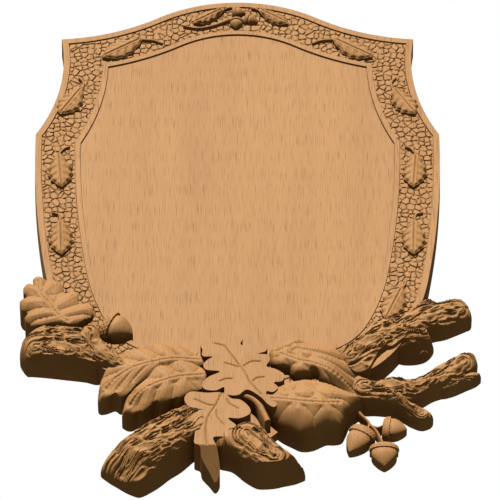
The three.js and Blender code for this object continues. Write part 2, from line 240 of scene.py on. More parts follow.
def nearest(points, line, closed=False):
    """For each point: distance to a line, length run along it to there, and side, left positive."""
    line = np.vstack([line, line[:1]]) if closed else np.asarray(line, float)
    best = np.full(len(points), np.inf)
    run = np.zeros(len(points))
    side = np.ones(len(points))
    gone = 0.0
    for a, b in zip(line, line[1:]):
        way = b - a
        length = math.hypot(*way)
        if length == 0:
            continue
        away = points - a
        t = np.clip(away @ way / length ** 2, 0, 1)
        distance = np.hypot(away[:, 0] - t * way[0], away[:, 1] - t * way[1])
        closer = distance < best
        best[closer] = distance[closer]
        run[closer] = gone + t[closer] * length
        turn = way[0] * away[:, 1] - way[1] * away[:, 0]
        side[closer] = np.sign(turn[closer] + 1e-12)
        gone += length
    return best, run, side


def grid_points(loop, cell, margin):
    """Staggered grid of points inside a loop, clear of its edge."""
    (x0, y0), (x1, y1) = loop.min(axis=0), loop.max(axis=0)
    row_gap = cell * math.sqrt(3) / 2
    rows = np.arange(y0, y1, row_gap)
    columns = np.arange(x0, x1, cell)
    x, y = np.meshgrid(columns, rows)
    x = x + cell / 2 * (np.arange(len(rows)) % 2)[:, None]
    points = np.column_stack([x.ravel(), y.ravel()])
    points = points[inside(points, loop)]
    distance, _, _ = nearest(points, loop, closed=True)
    return points[distance > margin]


# Closed meshes

def make_piece(name, corners, faces, material):
    """Piece from plan corners with heights, turned upright and riding on the plaque."""
    corners = np.asarray(corners, float)
    upright = np.column_stack([corners[:, 0], -corners[:, 2], corners[:, 1]]) * MM
    mesh = bpy.data.meshes.new(name)
    mesh.from_pydata(upright.tolist(), [], faces)
    mesh.validate()
    mesh.polygons.foreach_set("use_smooth", [True] * len(mesh.polygons))
    mesh.set_sharp_from_angle(angle=SHARP)
    mesh.materials.append(material)
    piece = bpy.data.objects.new(name, mesh)
    bpy.context.scene.collection.objects.link(piece)
    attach(piece, "root")
    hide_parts(NODE)
    return piece


# Each back on the wall lies a hair further out than the last, so that no two share a plane
BACK_STEP = 0.01
back_numbers = itertools.count()


def relief(name, outline, height, cell, material, extra=None, base=0.0, draft=0.0):
    """Closed piece with a carved top inside its outline, straight walls and a flat back."""
    if base == 0:
        base = BACK_STEP * next(back_numbers)
    edge = even_steps(outline, min(OUTLINE_STEP, cell * 1.3), closed=True)
    filling = grid_points(edge, cell, cell * 0.6)
    if extra is not None:
        filling = np.vstack([filling, extra])
    places = np.vstack([edge, filling])
    count = len(edge)
    loop = list(range(count))
    flat, _, triangles, origins, _, _ = delaunay_2d_cdt(
        [Vector(p) for p in places], [], [loop], 1, 1e-5)
    flat = np.array([tuple(p) for p in flat])
    top = np.column_stack([flat, height(flat)])
    first = {}
    for index, sources in enumerate(origins):
        for source in sources:
            if source < count:
                first.setdefault(source, index)
    rim = [first[i] for i in loop]
    spread_out = 1 + draft / np.hypot(*edge.T)
    back = np.column_stack([edge * spread_out[:, None], np.full(count, base)])
    corners = np.vstack([top, back])
    faces = [tuple(face) for face in triangles]
    start = len(top)
    for i in loop:
        j = (i + 1) % count
        faces.append((start + i, start + j, rim[j], rim[i]))
    faces.append(tuple(start + i for i in reversed(loop)))
    return make_piece(name, corners, faces, material)


def level(height):
    """Height function of a flat top."""
    def flat(points):
        return np.full(len(points), float(height))

    return flat


# Wood

def wood_material():
    """Oiled beech with short dark flecks running up the shield."""
    material = bpy.data.materials.new(SLOT)
    material.use_nodes = True
    nodes, links = material.node_tree.nodes, material.node_tree.links
    nodes.clear()
    output = nodes.new("ShaderNodeOutputMaterial")
    shader = nodes.new("ShaderNodeBsdfPrincipled")
    shader.inputs["Roughness"].default_value = 0.62
    shader.inputs["Specular IOR Level"].default_value = 0.25
    links.new(shader.outputs["BSDF"], output.inputs["Surface"])
    coordinates = nodes.new("ShaderNodeTexCoord")

    def stretched(scale):
        mapping = nodes.new("ShaderNodeMapping")
        mapping.inputs["Scale"].default_value = scale
        links.new(coordinates.outputs["Object"], mapping.inputs["Vector"])
        return mapping.outputs["Vector"]

    def noise_texture(scale, detail):
        texture = nodes.new("ShaderNodeTexNoise")
        texture.inputs["Scale"].default_value = 1.0
        texture.inputs["Detail"].default_value = detail
        links.new(stretched(scale), texture.inputs["Vector"])
        return texture.outputs["Fac"]

    def ramp(source, stops):
        node = nodes.new("ShaderNodeValToRGB")
        elements = node.color_ramp.elements
        while len(elements) < len(stops):
            elements.new(0.5)
        for element, (place, colour) in zip(elements, stops):
            element.position = place
            element.color = (*colour, 1.0)
        links.new(source, node.inputs["Fac"])
        return node.outputs["Color"]

    def multiply(first, second, share):
        mix = nodes.new("ShaderNodeMix")
        mix.data_type = "RGBA"
        mix.blend_type = "MULTIPLY"
        mix.inputs["Factor"].default_value = share
        links.new(first, mix.inputs[6])
        links.new(second, mix.inputs[7])
        return mix.outputs[2]

    broad = ramp(noise_texture(GRAIN_BROAD, 2.0), [(0.3, WOOD_DARK), (0.7, WOOD_LIGHT)])
    fleck_noise = noise_texture(GRAIN_FLECK, 1.0)
    flecks = ramp(fleck_noise, [(0.3, (0.62, 0.56, 0.5)), (0.43, (1.0, 1.0, 1.0))])
    fibre_noise = noise_texture(GRAIN_FIBRE, 3.0)
    fibres = ramp(fibre_noise, [(0.3, (0.86, 0.84, 0.82)), (0.6, (1.0, 1.0, 1.0))])
    colour = multiply(multiply(broad, flecks, 1.0), fibres, 1.0)
    links.new(colour, shader.inputs["Base Color"])

    bump = nodes.new("ShaderNodeBump")
    bump.inputs["Strength"].default_value = 0.25
    bump.inputs["Distance"].default_value = 0.0004
    links.new(fleck_noise, bump.inputs["Height"])
    links.new(bump.outputs["Normal"], shader.inputs["Normal"])
    return material


WOOD_LIGHT = (0.556, 0.280, 0.098)
WOOD_DARK = (0.500, 0.243, 0.082)
GRAIN_BROAD = (30.0, 30.0, 3.0)
GRAIN_FLECK = (1500.0, 1500.0, 42.0)
GRAIN_FIBRE = (2600.0, 2600.0, 60.0)
WOOD = wood_material()


# Board with rims, sunk ground and panel

COBBLE_PITCH = 6.6
COBBLE_JITTER = 0.85
COBBLE_CRACK = 1.1
COBBLE_DEPTH = 1.3
COBBLE_TILT = 0.45
GROUND_LOWEST_Y = -215.0


def cobbles(points):
    """Irregular flat-topped lumps with narrow cracks between them."""
    rng = np.random.default_rng(11)
    (x0, y0), (x1, y1) = points.min(axis=0) - 9, points.max(axis=0) + 9
    columns = int((x1 - x0) / COBBLE_PITCH) + 1
    rows = int((y1 - y0) / COBBLE_PITCH) + 1
    shift = (rng.random((rows, columns, 2)) - 0.5) * COBBLE_JITTER * COBBLE_PITCH
    lift = rng.random((rows, columns))
    lean = (rng.random((rows, columns, 2)) - 0.5) * COBBLE_TILT
    own_column = ((points[:, 0] - x0) / COBBLE_PITCH).astype(int)
    own_row = ((points[:, 1] - y0) / COBBLE_PITCH).astype(int)
    first = np.full(len(points), np.inf)
    second = np.full(len(points), np.inf)
    top = np.zeros(len(points))
    for down in (-2, -1, 0, 1, 2):
        for across in (-2, -1, 0, 1, 2):
            i = np.clip(own_row + down, 0, rows - 1)
            j = np.clip(own_column + across, 0, columns - 1)
            cx = x0 + (j + 0.5) * COBBLE_PITCH + shift[i, j, 0]
            cy = y0 + (i + 0.5) * COBBLE_PITCH + shift[i, j, 1]
            dx, dy = points[:, 0] - cx, points[:, 1] - cy
            distance = np.hypot(dx, dy)
            closer = distance < first
            second = np.where(closer, first, np.minimum(second, distance))
            tilt = (lean[i, j, 0] * dx + lean[i, j, 1] * dy) * 0.3
            top = np.where(closer, lift[i, j] * 0.5 + tilt, top)
            first = np.where(closer, distance, first)
    crack = smooth(second - first, 0, COBBLE_CRACK)
    return (crack - 1) * COBBLE_DEPTH + top * crack


def board_height(points):
    distance, _, _ = nearest(points, shield_outline(step=4.0), closed=True)
    inner = PANEL_INSET - INNER_RIM_WIDTH
    on_ground = (distance > RIM_WIDTH + STEP_SLOPE / 2) & (distance < inner - STEP_SLOPE / 2)
    height = np.full(len(points), BOARD_THICKNESS)
    height = np.where(on_ground, GROUND_HEIGHT, height)
    height = np.where((distance >= inner - STEP_SLOPE / 2), INNER_RIM_HEIGHT, height)
    height = np.where(distance > PANEL_INSET + STEP_SLOPE / 2, PANEL_HEIGHT, height)
    lumps = cobbles(points)
    fade = smooth(distance, RIM_WIDTH, RIM_WIDTH + 2) * (1 - smooth(distance, inner - 2, inner))
    return height + np.where(on_ground, lumps * fade, 0)


def make_board():
    outline = shield_outline()
    inner = PANEL_INSET - INNER_RIM_WIDTH
    steps = [shield_outline(at) for at in (RIM_WIDTH, inner, PANEL_INSET)]
    pairs = [shield_outline(at + STEP_SLOPE) for at in (RIM_WIDTH, PANEL_INSET)]
    pairs.append(shield_outline(inner - STEP_SLOPE))
    ground = grid_points(shield_outline(RIM_WIDTH + STEP_SLOPE), GROUND_CELL, GROUND_CELL * 0.6)
    ground = ground[~inside(ground, shield_outline(inner - STEP_SLOPE - GROUND_CELL * 0.6))]
    ground = ground[ground[:, 1] > GROUND_LOWEST_Y]
    extra = np.vstack([*steps, *pairs, ground])
    return relief("board", outline, board_height, PANEL_CELL, WOOD, extra=extra, draft=WALL_DRAFT)


# Low backing that joins the bunch below the board, out of sight in the hollows between its pieces

BACKING_HEIGHT = 12.0
BACKING_CELL = 8.0
BACKING = [
    (-75, -215), (-75, -238), (-60, -262), (-28, -272), (5, -288), (20, -288), (45, -264), (60, -240),
    (60, -215),
]


def make_backing():
    outline = np.array(BACKING, float)
    relief("backing", outline, level(BACKING_HEIGHT), BACKING_CELL, WOOD)


# Border leaves

BORDER_LOBES = 5
BORDER_HALF_WIDTH = 13.0
BORDER_LOBE_DEPTH = 0.2
BORDER_LOBE_LEAN = 5.0
LEFT_BORDER_LEAVES = [
    {"base": (-98, 245), "tip": (-138, 219), "stem": [(-77, 239), (-86, 243.5)]},
    {"base": (-158, 175), "tip": (-180, 138), "stem": [(-162, 190), (-157, 183)]},
    {"base": (-180, 83), "tip": (-176, 37), "stem": [(-169, 93), (-175, 90)]},
    {"base": (-176, -8), "tip": (-174, -54), "stem": [(-185, 2), (-178, 0)]},
]
LOWEST_RIGHT_LEAF = {"base": (162, -98), "tip": (145, -140), "stem": [(166, -87), (165, -93)]}
CROWN_LEAF_HALF_WIDTH = 8.5
CROWN_LEAVES = [
    {"base": (-13, 289), "tip": (-45, 268), "stem": [(-5, 291), (-9, 291)]},
    {"base": (21, 288), "tip": (52, 267), "stem": [(14, 290), (18, 290)]},
]
CROWN_TWIG = [(-56, 264), (-41, 261), (-25, 265), (-8, 274)]
STEM_BASE = GROUND_HEIGHT - 3


def flip(place):
    return -place[0], place[1]


def mirrored(leaf):
    return {"base": flip(leaf["base"]), "tip": flip(leaf["tip"]), "stem": [flip(p) for p in leaf["stem"]]}


def stem(name, line, start_width, end_width, height, base=0.0):
    """Thin rounded stem that widens along its line."""
    middle = even_steps(spline(line), 0.8)
    way = np.gradient(middle, axis=0)
    normal = np.column_stack([-way[:, 1], way[:, 0]]) / np.hypot(*way.T)[:, None]
    half = np.linspace(start_width, end_width, len(middle))[:, None] / 2
    loop = np.vstack([middle - normal * half, (middle + normal * half)[::-1]])
    if signed_area(loop) < 0:
        loop = loop[::-1]

    def rounded(points):
        distance, run, _ = nearest(points, middle)
        length = np.hypot(*np.diff(middle, axis=0).T).sum()
        width = (start_width + (end_width - start_width) * run / length) / 2
        return height - width * 0.8 * np.clip(distance / width, 0, 1) ** 2

    return relief(name, loop, rounded, SMALL_CELL, WOOD, base=base)


def border_leaf(name, leaf, half_width=BORDER_HALF_WIDTH):
    start, end = np.array(leaf["base"], float), np.array(leaf["tip"], float)
    length = math.dist(start, end)
    along = (end - start) / length
    across = np.array([-along[1], along[0]])
    t = np.linspace(0, 1, 121)
    body = np.sin(math.pi * (t * 0.94 + 0.03) ** 0.9)
    wave = 1 - BORDER_LOBE_DEPTH * (1 + np.cos(2 * math.pi * BORDER_LOBES * t)) / 2
    out = (half_width * body * wave)[:, None] * across
    middle = start + (t * length + BORDER_LOBE_LEAN * body)[:, None] * along
    outline = np.vstack([middle - out, (middle + out)[::-1]])
    if signed_area(outline) < 0:
        outline = outline[::-1]

    def height(points):
        away = points - start
        u, v = away @ along, np.abs(away @ across)
        share = np.clip(v / half_width, 0, 1)
        dome = BORDER_LEAF_EDGE + (BORDER_LEAF_CREST - BORDER_LEAF_EDGE) * (1 - share ** 2)
        phase = 2 * math.pi * BORDER_LOBES * (u - v * 0.55) / length
        lobes = -np.cos(phase) * 0.75 * smooth(share, 0.05, 0.5)
        veins = -0.35 * np.exp(-((((u - v * 0.55) / length * BORDER_LOBES + 0.5) % 1 - 0.0) / 0.07) ** 2)
        midrib = -0.9 * np.exp(-(v / 0.7) ** 2) + 0.5 * np.exp(-((v - 1.8) / 1.2) ** 2)
        edge, _, _ = nearest(points, outline, closed=True)
        return dome + lobes + veins * smooth(share, 0.1, 0.3) + midrib - 1.6 * (1 - smooth(edge, 0, 2.2))

    relief(name, outline, height, SMALL_CELL, WOOD, base=STEM_BASE)
    stem(name + "_stem", [*leaf["stem"], leaf["base"]], 1.5, 3.0, BORDER_LEAF_EDGE + 1, STEM_BASE)


def make_border():
    right = [mirrored(leaf) for leaf in LEFT_BORDER_LEAVES] + [LOWEST_RIGHT_LEAF]
    for side, leaves in (("left", LEFT_BORDER_LEAVES), ("right", right)):
        for number, leaf in enumerate(leaves, 1):
            border_leaf(f"border_leaf_{side}_{number}", leaf)
    for side, leaf in zip(("left", "right"), CROWN_LEAVES):
        border_leaf(f"crown_leaf_{side}", leaf, CROWN_LEAF_HALF_WIDTH)
    stem("crown_twig", CROWN_TWIG, 1.5, 4.0, BORDER_LEAF_EDGE + 1.5, STEM_BASE)


# Forms of the bunch. Outline and spine points are x, y and the height of the surface there.

def spread(points, line):
    """Heights of a line spread over the plane, the nearer parts of the line counting more."""
    weighted = np.zeros(len(points))
    total = np.zeros(len(points))
    for x, y, h in line:
        weight = 1 / (np.hypot(points[:, 0] - x, points[:, 1] - y) + SPREAD_SOFT) ** SPREAD_POWER
        weighted += h * weight
        total += weight
    return weighted / total


def crest_height(points, form):
    """The CAD solid's own top: it rises from the heights of the outline to those of the spine."""
    outline = spline(form["outline"], closed=True, per_knot=4)
    spine = spline(form["spine"], per_knot=4)
    to_spine, _, _ = nearest(points, spine[:, :2])
    to_edge, _, _ = nearest(points, outline[:, :2], closed=True)
    share = (1 - (to_spine / (to_spine + to_edge + 1e-9)) ** 2) ** form["bulge"]
    low = spread(points, outline)
    crest = low + (spread(points, spine) - low) * share
    over = np.clip(crest - CREST_EASE, 0, None)
    room = CREST_LIMIT - CREST_EASE
    return np.minimum(crest, CREST_EASE) + room * np.tanh(over / room)


SPREAD_SOFT = 0.5
SPREAD_POWER = 3
CREST_EASE = 36.0
CREST_LIMIT = -CAD_BOX[0][1] / MM - 3

LARGE_LEAVES = {
    "left_leaf": {
        "outline": [
            (-161, -154, 32), (-178, -151, 30), (-193, -151, 29), (-201, -148, 28), (-207, -142, 27),
            (-208, -137, 27), (-205, -132, 29), (-210, -129, 28), (-213, -123, 27), (-213, -116, 28),
            (-207, -111, 30), (-210, -106, 29), (-210, -99, 28), (-206, -94, 29), (-201, -95, 31),
            (-201, -88, 30), (-197, -85, 30), (-193, -86, 31), (-188, -90, 32), (-182, -91, 32),
            (-174, -96, 32), (-171, -102, 32), (-169, -108, 32), (-161, -107, 33), (-156, -112, 33),
            (-155, -121, 33), (-148, -122, 33), (-142, -127, 33), (-141, -136, 33), (-145, -142, 33),
            (-150, -147, 34),
        ],
        "spine": [(-196, -93, 34), (-192, -112, 36), (-183, -126, 37), (-174, -142, 38), (-164, -151, 38)],
        "bulge": 0.6,
        "lobes": [
            ((-193, -108), (-208, -99)), ((-186, -121), (-210, -121)), ((-178, -136), (-205, -139)),
            ((-172, -146), (-195, -149)), ((-190, -108), (-179, -95)), ((-180, -131), (-158, -112)),
            ((-174, -141), (-144, -130)), ((-167, -149), (-150, -144)),
        ],
    },
    "upper_centre_leaf": {
        "outline": [
            (-33, -205, 38), (-36, -196, 37), (-43, -188, 35), (-51, -182, 34), (-59, -177, 33),
            (-65, -177, 33), (-72, -175, 32), (-80, -173, 32), (-87, -175, 31), (-91, -179, 31),
            (-98, -180, 31), (-104, -181, 30), (-116, -190, 29), (-125, -201, 28), (-131, -213, 26),
            (-134, -226, 22), (-135, -234, 14), (-133, -238, 10), (-128, -238, 18), (-123, -236, 27),
            (-118, -234, 30), (-113, -238, 27), (-107, -236, 29), (-101, -230, 32), (-92, -223, 30),
            (-70, -213, 32), (-46, -209, 36),
        ],
        "spine": [
            (-37, -201, 40), (-62, -199, 40), (-79, -202, 39), (-100, -208, 37), (-116, -217, 33),
            (-127, -227, 26),
        ],
        "bulge": 0.7,
        "lobes": [
            ((-48, -200), (-58, -180)), ((-63, -199), (-78, -176)), ((-82, -203), (-101, -183)),
            ((-100, -207), (-125, -204)), ((-112, -215), (-133, -224)), ((-106, -212), (-130, -237)),
            ((-94, -207), (-114, -234)), ((-78, -203), (-100, -225)),
        ],
    },
    "lower_centre_leaf": {
        "outline": [
            (-30, -222, 38), (-34, -210, 38), (-43, -203, 38), (-52, -200, 38), (-60, -201, 38),
            (-66, -206, 38), (-77, -208, 37), (-86, -219, 36), (-97, -231, 34), (-106, -240, 30),
            (-110, -249, 22), (-111, -255, 12), (-106, -259, 13), (-101, -259, 20), (-96, -256, 28),
            (-91, -257, 29), (-85, -254, 30), (-79, -247, 34), (-74, -250, 31), (-68, -249, 32),
            (-61, -245, 35), (-55, -246, 34), (-49, -242, 35), (-43, -237, 36), (-35, -235, 37),
        ],
        "spine": [(-33, -220, 40), (-57, -223, 41), (-79, -231, 40), (-94, -239, 36), (-103, -248, 27)],
        "bulge": 0.7,
        "lobes": [
            ((-44, -222), (-55, -203)), ((-65, -225), (-77, -212)), ((-84, -233), (-97, -234)),
            ((-96, -240), (-108, -254)), ((-84, -235), (-90, -250)), ((-68, -228), (-72, -245)),
            ((-52, -224), (-54, -241)),
        ],
    },
    "smooth_leaf": {
        "outline": [
            (24, -252, 24), (28, -238, 33), (44, -228, 34), (65, -221, 34), (85, -224, 32),
            (104, -230, 24), (119, -232, 14), (122, -240, 8), (114, -250, 10), (108, -256, 12),
            (104, -267, 12), (100, -275, 13), (93, -277, 14), (86, -277, 15), (80, -280, 15), (75, -283, 15),
            (69, -285, 15), (61, -285, 15), (52, -280, 16), (43, -274, 16), (33, -264, 16),
        ],
        "spine": [(33, -247, 36), (46, -251, 40), (62, -254, 41), (80, -255, 40), (98, -250, 33)],
        "bulge": 0.5,
        "lobes": [
            ((28, -243), (104, -238)), ((50, -238), (58, -262)), ((76, -240), (88, -262)),
        ],
    },
    "curled_leaf": {
        "outline": [
            (31, -193, 32), (31, -187, 34), (36, -181, 34), (40, -178, 33), (48, -172, 33),
            (56, -170, 33), (64, -173, 34), (72, -177, 34), (85, -179, 34), (95, -182, 33),
            (101, -188, 32), (107, -195, 31), (114, -202, 30), (119, -211, 28), (123, -220, 22),
            (123, -230, 14), (112, -235, 12), (98, -233, 14), (89, -229, 19), (82, -224, 24),
            (75, -213, 29), (70, -217, 28), (61, -219, 28), (54, -217, 28), (49, -209, 30),
            (44, -209, 30), (37, -206, 31), (32, -199, 31),
        ],
        "spine": [
            (42, -194, 42), (58, -203, 46), (70, -206, 46), (86, -212, 42), (102, -220, 32),
            (112, -225, 22),
        ],
        "bulge": 0.5,
        "lobes": [
            ((47, -188), (41, -206)), ((60, -190), (61, -217)), ((74, -197), (80, -220)),
            ((44, -184), (58, -174)), ((56, -184), (98, -190)), ((64, -192), (113, -208)),
            ((74, -200), (116, -222)),
        ],
    },
}
LEAF_PUFF = 3.4
PUFF_REACH = 12.0
VEIN_CUT = 0.5
VEIN_WIDTH = 0.9
MIDRIB_CUT = 1.0
MIDRIB_WIDTH = 1.1


def large_leaf(name, leaf):
    outline = spline(leaf["outline"], closed=True)[:, :2]
    spine = spline(leaf["spine"])[:, :2]

    def height(points):
        middle, _, _ = nearest(points, spine)
        veins = [nearest(points, np.array(vein, float))[0] for vein in leaf["lobes"]]
        ordered = np.sort(np.array([middle * 1.15, *veins]), axis=0)
        near, second = ordered[0], ordered[1]
        puff = (second - near) / (second + near + 0.8)
        depth = LEAF_PUFF * np.clip((near + second) / PUFF_REACH, 0, 1)
        edge, _, _ = nearest(points, outline, closed=True)
        carving = depth * (puff ** 0.6 - 0.7) * smooth(middle, 0.5, 6)
        carving -= VEIN_CUT * np.exp(-(min_over(veins) / VEIN_WIDTH) ** 2) * smooth(edge, 1, 4)
        carving -= MIDRIB_CUT * np.exp(-(middle / MIDRIB_WIDTH) ** 2)
        return crest_height(points, leaf) + carving

    relief(name, outline, height, LEAF_CELL, WOOD)


def min_over(rows):
    return np.min(np.array(rows), axis=0)


# Logs and branches with bark

BARK_PIECES = {
    "left_log": {
        "outline": [
            (-206, -188, 8), (-199, -190, 30), (-189, -191, 36), (-168, -194, 37), (-148, -197, 36),
            (-135, -200, 32), (-128, -190, 30), (-138, -172, 32), (-148, -158, 34), (-161, -154, 33),
            (-178, -151, 31), (-193, -152, 29), (-203, -158, 26), (-210, -166, 20), (-212, -176, 6),
        ],
        "spine": [(-196, -182, 37), (-172, -186, 40), (-153, -189, 39), (-138, -193, 34)],
    },
    "inner_branch": {
        "outline": [
            (-155, -170, 35), (-150, -184, 35), (-143, -194, 33), (-134, -200, 33), (-125, -203, 32),
            (-114, -208, 30), (-105, -206, 28), (-107, -198, 28), (-117, -187, 28), (-126, -176, 29),
            (-133, -166, 30), (-135, -156, 33), (-141, -151, 34), (-149, -155, 34),
        ],
        "spine": [(-145, -163, 39), (-139, -180, 40), (-126, -194, 38), (-113, -202, 34)],
    },
    "lower_left_log": {
        "outline": [
            (-131, -315, 2), (-124, -323, 4), (-115, -330, 7), (-107, -336, 12), (-100, -340, 19),
            (-93, -342, 25), (-84, -337, 27), (-74, -329, 28), (-65, -320, 28), (-54, -311, 28),
            (-43, -299, 29), (-30, -285, 32), (-28, -264, 34), (-49, -257, 34), (-58, -260, 35),
            (-71, -270, 37), (-87, -280, 37), (-100, -289, 33), (-109, -293, 28), (-116, -297, 20),
            (-122, -301, 12), (-128, -307, 5),
        ],
        "spine": [
            (-110, -328, 12), (-103, -324, 28), (-96, -319, 43), (-80, -312, 49), (-60, -300, 47),
            (-43, -288, 43), (-34, -278, 40),
        ],
    },
    "lower_right_log": {
        "outline": [
            (65, -320, 2), (57, -325, 14), (51, -327, 28), (43, -329, 42), (36, -331, 47),
            (26, -332, 43), (18, -331, 32), (7, -323, 25), (-5, -311, 27), (-18, -306, 25),
            (-20, -296, 30), (-5, -287, 37), (7, -280, 38), (16, -282, 40), (25, -289, 40),
            (31, -299, 38), (41, -308, 31), (52, -315, 18), (60, -318, 7),
        ],
        "spine": [(35, -323, 50), (29, -315, 50), (20, -306, 46), (9, -295, 42)],
    },
    "upper_branch": {
        "outline": [
            (100, -181, 30), (111, -171, 29), (123, -156, 27), (136, -140, 26), (146, -136, 25),
            (154, -136, 24), (162, -131, 23), (170, -125, 22), (176, -115, 21), (181, -110, 21),
            (189, -108, 21), (196, -113, 20), (204, -110, 20), (211, -107, 20), (219, -107, 18),
            (226, -113, 14), (230, -122, 9), (229, -128, 7), (223, -132, 16), (212, -138, 19),
            (204, -142, 20), (190, -146, 22), (176, -154, 28), (162, -166, 33), (151, -177, 33),
            (142, -180, 33), (133, -194, 34), (126, -208, 34), (114, -212, 34),
        ],
        "spine": [(109, -193, 38), (134, -172, 37), (156, -157, 34), (180, -136, 30), (216, -122, 27)],
    },
    "upper_stub": {
        "outline": [
            (192, -157, 2), (189, -165, 5), (182, -172, 8), (170, -175, 10), (159, -174, 12),
            (152, -168, 22), (152, -156, 34), (166, -146, 32), (184, -145, 18),
        ],
        "spine": [(156, -158, 37), (168, -154, 35), (178, -151, 29)],
        "bulge": 0.9,
    },
    "lower_branch": {
        "outline": [
            (116, -211, 26), (123, -213, 24), (136, -216, 22), (144, -212, 22), (156, -210, 22),
            (167, -213, 21), (179, -206, 20), (190, -197, 20), (200, -189, 20), (211, -181, 19),
            (222, -175, 18), (230, -175, 14), (234, -182, 7), (229, -194, 12), (216, -205, 17),
            (201, -217, 18), (190, -222, 19), (179, -230, 19), (166, -239, 21), (153, -243, 22),
            (142, -241, 23), (132, -240, 24), (123, -240, 25), (112, -234, 26),
        ],
        "spine": [(122, -226, 31), (150, -226, 30), (172, -224, 28), (195, -208, 26), (219, -189, 24)],
    },
    "prong": {
        "outline": [
            (237, -196, 4), (233, -202, 8), (221, -209, 13), (208, -216, 15), (198, -218, 17),
            (202, -204, 17), (214, -198, 16), (225, -196, 14), (233, -195, 9),
        ],
        "spine": [(204, -210, 20), (219, -202, 18), (231, -197, 15)],
    },
    "lower_stub": {
        "outline": [
            (150, -228, 26), (160, -235, 23), (167, -240, 19), (174, -242, 16), (183, -245, 11),
            (189, -249, 5), (187, -255, 6), (178, -259, 8), (168, -255, 12), (160, -249, 15),
            (152, -242, 18), (146, -234, 24),
        ],
        "spine": [(156, -236, 29), (166, -244, 25), (177, -250, 18)],
    },
}
BARK_BULGE = 0.5
BARK_RIDGE = 1.5
BARK_LENGTH = 11.0
BARK_WIDTH = 2.5
BARK_FINE = 0.7


def bark_piece(name, form):
    outline = spline(form["outline"], closed=True)[:, :2]
    spine = spline(form["spine"])[:, :2]
    rounded = {"bulge": BARK_BULGE, **form}

    def height(points):
        distance, run, side = nearest(points, spine)
        across = distance * side
        wander = noise(run / 14, across / 7 + 40) * 2.4
        first = 1 - np.abs(noise(run / BARK_LENGTH + 9, (across + wander) / BARK_WIDTH))
        second = 1 - np.abs(noise(run / 6 + 70, (across + wander) / 1.5 + 20))
        lumps = noise(run / 12 + 3, across / 9 + 8)
        bark = BARK_RIDGE * (2 * first ** 2 - 1) + BARK_FINE * (2 * second - 1) + 0.9 * lumps
        edge, _, _ = nearest(points, outline, closed=True)
        return crest_height(points, rounded) + bark * smooth(edge, -1, 2.5)

    relief(name, outline, height, BARK_CELL, WOOD)


# Flat leaves laid over the bunch, with cut veins

UPPER_FLAT_LEAF = [
    (-36, -183), (-32, -178), (-24, -176), (-12, -176), (-4, -171), (1, -170), (5, -174), (3, -182),
    (8, -184), (15, -180), (22, -181), (29, -186), (27, -191), (20, -194), (30, -196), (31, -203),
    (28, -210), (37, -214), (45, -221), (43, -229), (35, -231), (39, -237), (34, -243), (28, -242),
    (29, -250), (38, -258), (35, -262), (29, -258), (22, -249), (9, -240), (0, -247), (-12, -245),
    (-13, -237), (-21, -241), (-32, -239), (-34, -233), (-28, -224), (-17, -217), (-31, -214),
    (-33, -208), (-29, -202), (-24, -198), (-34, -197), (-34, -189),
]
UPPER_FLAT_VEINS = [
    [(-22, -181), (-13, -184), (-8, -192), (-3, -200), (3, -211), (8, -220), (12, -230), (23, -246)],
    [(6, -210), (14, -204), (22, -204)],
    [(1, -211), (-12, -206)],
    [(15, -229), (19, -225), (26, -224)],
    [(-17, -229), (-10, -226), (-5, -226)],
]
LOWER_FLAT_LEAF = [
    (-13, -244), (-30, -244), (-46, -243), (-51, -251), (-47, -261), (-37, -265), (-45, -275),
    (-47, -286), (-41, -292), (-41, -299), (-41, -307), (-36, -310), (-34, -319), (-27, -329),
    (-21, -337),
    (-17, -330), (-19, -313), (-23, -300), (-8, -298), (-8, -290), (-1, -286), (-9, -276), (2, -276),
    (12, -270), (12, -264), (3, -253), (-6, -251),
]
LOWER_FLAT_VEINS = [
    [(-14, -242), (-18, -252), (-21, -260), (-28, -274), (-30, -286), (-29, -308)],
    [(-22, -260), (-28, -259), (-41, -252)],
    [(-20, -266), (-19, -275), (-13, -284)],
    [(-10, -252), (-7, -258), (1, -264)],
]
POINT_BEND_Y = -309.0
POINT_END_Y = -338.0
POINT_END_HEIGHT = 16.0
CUT_DEPTH = 1.1
CUT_WIDTH = 0.8


def flat_leaf(name, knots, veins):
    outline = spline(knots, closed=True)
    lines = [spline(vein) for vein in veins]

    def height(points):
        slope = np.clip((points[:, 1] - POINT_END_Y) / (POINT_BEND_Y - POINT_END_Y), 0, 1)
        top = POINT_END_HEIGHT + (FLAT_LEAF_HEIGHT - POINT_END_HEIGHT) * slope
        vein = min_over([nearest(points, line)[0] for line in lines])
        return top - CUT_DEPTH * np.exp(-(vein / CUT_WIDTH) ** 2)

    relief(name, outline, height, LEAF_CELL, WOOD)


# Acorns: a turned nut in a cup with rows of small scales, over a filling that stands on the back

ACORN_RINGS = 72
ACORN_SIDES = 84
FILLING_CELL = 4.0
CUP_TO = 0.66
ACORN_PROFILE = [
    (0, 0), (0.62, 0.03), (0.98, 0.22), (1.06, 0.62), (0.93, 0.66), (0.95, 0.95), (0.83, 1.3),
    (0.5, 1.73), (0.14, 2.02), (0, 2.1),
]
SIDE_ACORN = {"cup": (-130, -150), "direction": -26, "radius": 15, "height": 33, "depth": 0.8}
HANGING_ACORNS = [
    {"cup": (124, -263.5), "direction": -120, "radius": 12.4, "height": 9.3, "stretch": 1.28, "depth": 0.55},
    {"cup": (140.7, -283.7), "direction": -90, "radius": 12.9, "height": 9.6, "depth": 0.55},
    {"cup": (139.7, -261), "direction": -7, "radius": 11.4, "height": 9, "depth": 0.55},
]
CROWN_ACORN_RADIUS = 7
CROWN_ACORN_HEIGHT = GROUND_HEIGHT + 1
CROWN_ACORNS = [
    {"cup": (-6, 285), "direction": 0},
    {"cup": (-1, 275), "direction": -92},
    {"cup": (8, 277), "direction": -25},
]
